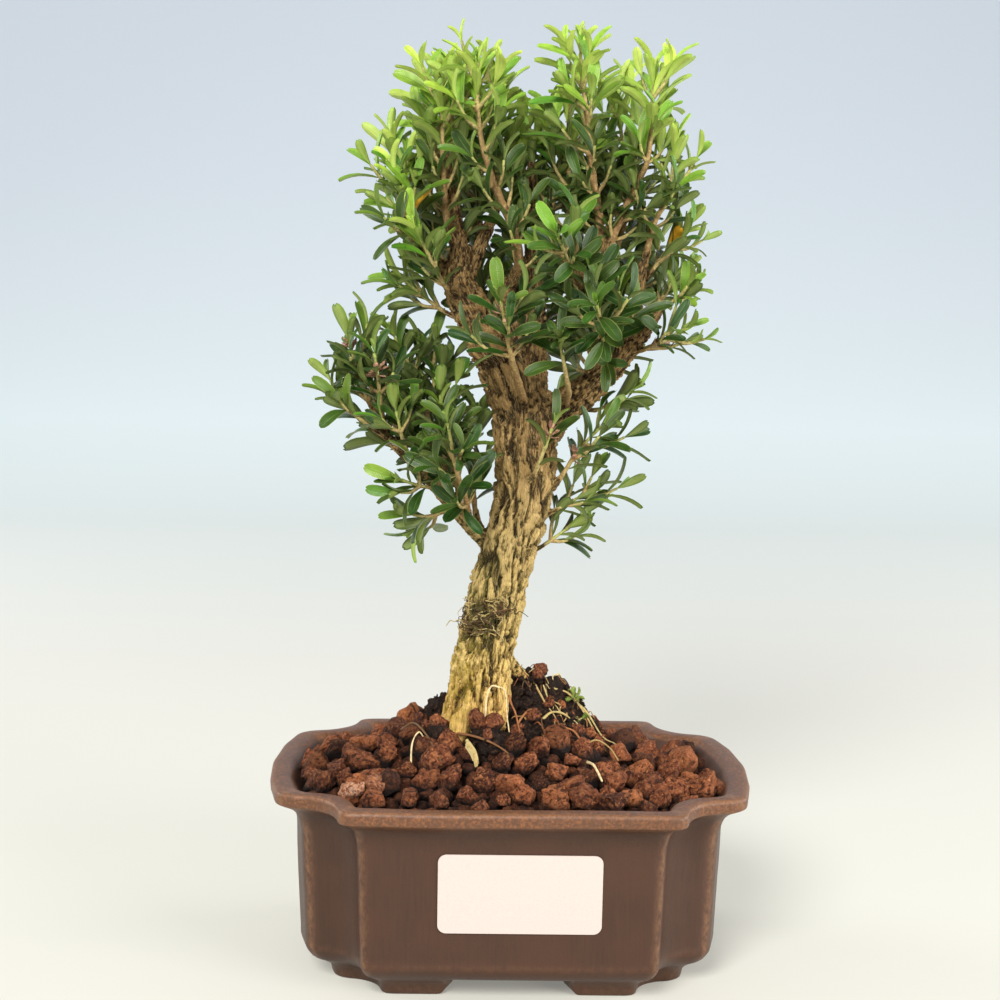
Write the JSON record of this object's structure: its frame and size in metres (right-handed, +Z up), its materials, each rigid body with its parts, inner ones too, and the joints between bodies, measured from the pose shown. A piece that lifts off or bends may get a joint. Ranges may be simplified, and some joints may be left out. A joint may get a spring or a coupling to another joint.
{
  "type": "boxwood bonsai in a ceramic pot",
  "caption": "Small boxwood bonsai with a leaning fissured trunk and upright leafy shoots, growing in red-brown lava grit in a footed, lobed, unglazed ceramic pot.",
  "frame": {"origin": "middle of the pot's footprint at the level of the feet's undersides, which is the bottom centre of the bounding box", "axes": "+Z up, +X to the right and -Y towards the viewer of the pot's front, which carries the label"},
  "size_m": [0.18, 0.134, 0.3481],
  "materials": {
    "pot_ceramic": "semi-matte unglazed stoneware",
    "blank_label": "satin",
    "drain_mesh": "matte",
    "peat": "rough",
    "lava_grit": "rough",
    "bark": "rough",
    "foliage": "waxy"
  },
  "bodies": {
    "root": {"pot": "pot_ceramic", "label": "blank_label", "drain_mesh_left": "drain_mesh", "drain_mesh_right": "drain_mesh", "root_ball": "peat", "grit": "lava_grit", "trunk": "bark", "shoot_crown_left_01": "foliage", "shoot_crown_left_02": "foliage", "shoot_crown_left_03": "foliage", "shoot_crown_left_04": "foliage", "shoot_crown_left_05": "foliage", "shoot_crown_left_06": "foliage", "shoot_crown_left_07": "foliage", "shoot_crown_left_08": "foliage", "shoot_crown_left_09": "foliage", "shoot_crown_left_10": "foliage", "shoot_crown_left_11": "foliage", "shoot_crown_left_12": "foliage", "shoot_crown_right_01": "foliage", "shoot_crown_right_02": "foliage", "shoot_crown_right_03": "foliage", "shoot_crown_right_04": "foliage", "shoot_crown_right_05": "foliage", "shoot_crown_right_06": "foliage", "shoot_crown_right_07": "foliage", "shoot_crown_right_08": "foliage", "shoot_crown_right_09": "foliage", "shoot_crown_right_10": "foliage", "shoot_crown_right_11": "foliage", "shoot_front_01": "foliage", "shoot_front_02": "foliage", "shoot_front_03": "foliage", "shoot_front_04": "foliage", "shoot_front_05": "foliage", "shoot_low_left_01": "foliage", "shoot_low_left_02": "foliage", "shoot_low_left_03": "foliage", "shoot_low_left_04": "foliage", "shoot_low_left_05": "foliage", "shoot_low_left_06": "foliage", "shoot_low_left_07": "foliage", "shoot_low_left_08": "foliage", "shoot_low_left_09": "foliage", "shoot_low_left_10": "foliage", "shoot_low_left_11": "foliage", "shoot_low_left_12": "foliage", "shoot_trunk_right_01": "foliage", "shoot_trunk_right_02": "foliage", "shoot_trunk_right_03": "foliage", "shoot_trunk_right_04": "foliage", "shoot_back_01": "foliage", "shoot_back_02": "foliage", "shoot_back_03": "foliage", "shoot_back_04": "foliage", "shoot_back_05": "foliage", "shoot_back_06": "foliage", "shoot_back_07": "foliage", "shoot_back_08": "foliage", "shoot_back_09": "foliage"}
  },
  "joints": []
}
